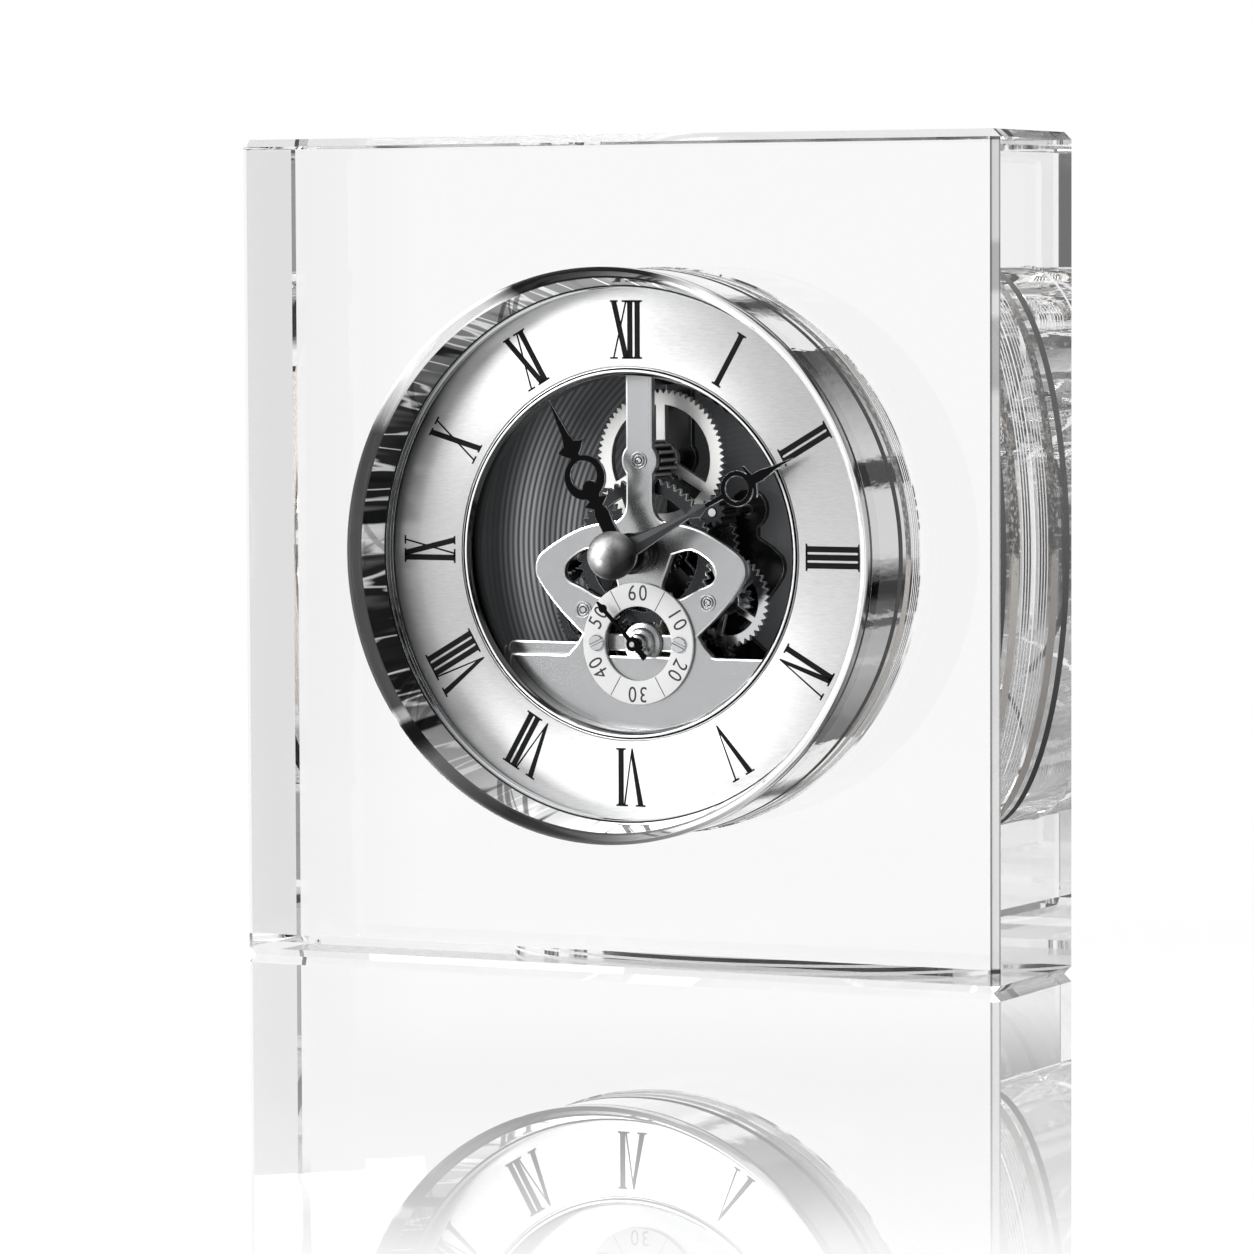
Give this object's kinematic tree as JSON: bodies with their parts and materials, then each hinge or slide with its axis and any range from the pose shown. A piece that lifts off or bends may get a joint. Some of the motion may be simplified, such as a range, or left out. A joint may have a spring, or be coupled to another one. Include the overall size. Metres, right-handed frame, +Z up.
{
  "type": "table clock",
  "caption": "Square clear crystal block standing on edge, with a round open-worked clock set in its bore: chromed bezel, silvered hour ring, black hands, seconds dial, visible wheels.",
  "frame": {"origin": "centre of the overall box at the bottom face of the block", "axes": "+X to the viewer's right, +Y from the dial to the back, +Z up"},
  "size_m": [0.12, 0.034, 0.12],
  "materials": {
    "crystal": "polished clear crystal",
    "chromed_brass": "polished chrome plate",
    "silvered_dial": "fine straight brushed, silvered",
    "polished_steel": "polished steel with bright bevels",
    "turned_case": "lathe turned, satin",
    "grip_rubber": "matt black moulded rubber",
    "dark_cover": "dark lacquer over turned rings",
    "black_plate": "gloss black",
    "black_steel": "blackened and polished",
    "silvered_wheel": "satin silver",
    "yellow_brass": "cut and polished",
    "black_plastic": "fine moulded grain",
    "cell_jacket": "printed metal jacket",
    "copper_wire": "lacquered copper winding",
    "circuit_green": "coated laminate",
    "magnet": "sintered magnet"
  },
  "bodies": {
    "case": {"crystal_block": "crystal", "bezel_ring": "chromed_brass", "dial_ring": "silvered_dial", "window_trim_ring": "polished_steel", "rear_case": "turned_case", "grip_band": "grip_rubber", "back_ring": "turned_case", "back_cover": "dark_cover", "front_plate": "polished_steel", "back_plate": "black_plate", "plate_pillar_1": "black_plate", "plate_pillar_2": "black_plate", "plate_pillar_3": "black_plate", "plate_pillar_4": "black_plate", "centre_bush": "black_plate", "front_bearing_1": "polished_steel", "front_bearing_2": "polished_steel", "front_bearing_3": "polished_steel", "subdial_ring": "silvered_dial", "subdial_screw_left": "polished_steel", "subdial_screw_right": "polished_steel", "seconds_cock": "polished_steel", "relay_stud": "polished_steel", "stator": "polished_steel", "drive_coil": "copper_wire", "battery_cradle": "black_plastic", "battery_cell": "cell_jacket", "battery_contact_left": "polished_steel", "battery_contact_right": "polished_steel", "circuit_board": "circuit_green", "quartz_crystal": "turned_case"},
    "minute_work": {"ball_nut": "chromed_brass", "minute_hand": "black_steel", "minute_arbor": "polished_steel", "cannon_pinion": "polished_steel"},
    "hour_work": {"hour_hand": "black_steel", "hour_wheel": "black_steel"},
    "great_work": {"great_wheel": "silvered_wheel", "ribbed_pinion": "black_steel", "great_arbor": "polished_steel"},
    "setting_work": {"setting_pinion": "black_steel", "setting_arbor": "polished_steel", "setting_knob": "black_plastic"},
    "seconds_work": {"seconds_hand": "black_steel", "seconds_arbor": "polished_steel", "seconds_wheel": "black_steel"},
    "relay_work": {"relay_wheels": "polished_steel"},
    "sleeve_work": {"sleeve_wheels": "yellow_brass"},
    "third_work": {"third_wheel": "polished_steel", "third_arbor": "polished_steel"},
    "centre_work": {"centre_wheel": "black_steel"},
    "motor_work": {"motor_wheel": "black_steel", "motor_arbor": "polished_steel"},
    "rotor_work": {"rotor": "magnet"},
    "door": {"battery_door": "dark_cover"}
  },
  "joints": [
    {"name": "minute_spin", "type": "hinge", "parent": "case", "child": "minute_work", "pos_m": [0, 0, 0.06], "axis": [0, 1, 0], "continuous": true},
    {"name": "hour_spin", "type": "hinge", "parent": "case", "child": "hour_work", "pos_m": [0, 0, 0.06], "axis": [0, 1, 0], "continuous": true},
    {"name": "great_spin", "type": "hinge", "parent": "case", "child": "great_work", "pos_m": [0, 0, 0.0733], "axis": [0, 1, 0], "continuous": true},
    {"name": "setting_spin", "type": "hinge", "parent": "case", "child": "setting_work", "pos_m": [0.01105, 0, 0.06593], "axis": [0, 1, 0], "continuous": true},
    {"name": "seconds_spin", "type": "hinge", "parent": "case", "child": "seconds_work", "pos_m": [0, 0, 0.0469], "axis": [0, 1, 0], "continuous": true},
    {"name": "relay_spin", "type": "hinge", "parent": "case", "child": "relay_work", "pos_m": [0.0056, 0, 0.044], "axis": [0, 1, 0], "continuous": true},
    {"name": "sleeve_spin", "type": "hinge", "parent": "case", "child": "sleeve_work", "pos_m": [0, 0, 0.0469], "axis": [0, 1, 0], "continuous": true},
    {"name": "third_spin", "type": "hinge", "parent": "case", "child": "third_work", "pos_m": [0.0109, 0, 0.053], "axis": [0, 1, 0], "continuous": true},
    {"name": "centre_spin", "type": "hinge", "parent": "case", "child": "centre_work", "pos_m": [0, 0, 0.06], "axis": [0, 1, 0], "continuous": true},
    {"name": "motor_spin", "type": "hinge", "parent": "case", "child": "motor_work", "pos_m": [-0.009, 0, 0.0516], "axis": [0, 1, 0], "continuous": true},
    {"name": "rotor_spin", "type": "hinge", "parent": "case", "child": "rotor_work", "pos_m": [-0.01152, 0, 0.04467], "axis": [0, 1, 0], "continuous": true},
    {"name": "door_slide", "type": "slide", "parent": "case", "child": "door", "axis": [0, 1, 0], "range_m": [0, 0.008]}
  ],
  "couplings": [
    {"joint": "great_spin", "follows": "minute_spin", "ratio": -0.33333},
    {"joint": "hour_spin", "follows": "minute_spin", "ratio": 0.083333},
    {"joint": "setting_spin", "follows": "minute_spin", "ratio": -0.46667},
    {"joint": "relay_spin", "follows": "seconds_spin", "ratio": -0.27778},
    {"joint": "sleeve_spin", "follows": "seconds_spin", "ratio": 0.092593},
    {"joint": "third_spin", "follows": "seconds_spin", "ratio": -0.083333},
    {"joint": "centre_spin", "follows": "seconds_spin", "ratio": 0.016667},
    {"joint": "motor_spin", "follows": "seconds_spin", "ratio": -3},
    {"joint": "rotor_spin", "follows": "seconds_spin", "ratio": 30}
  ]
}
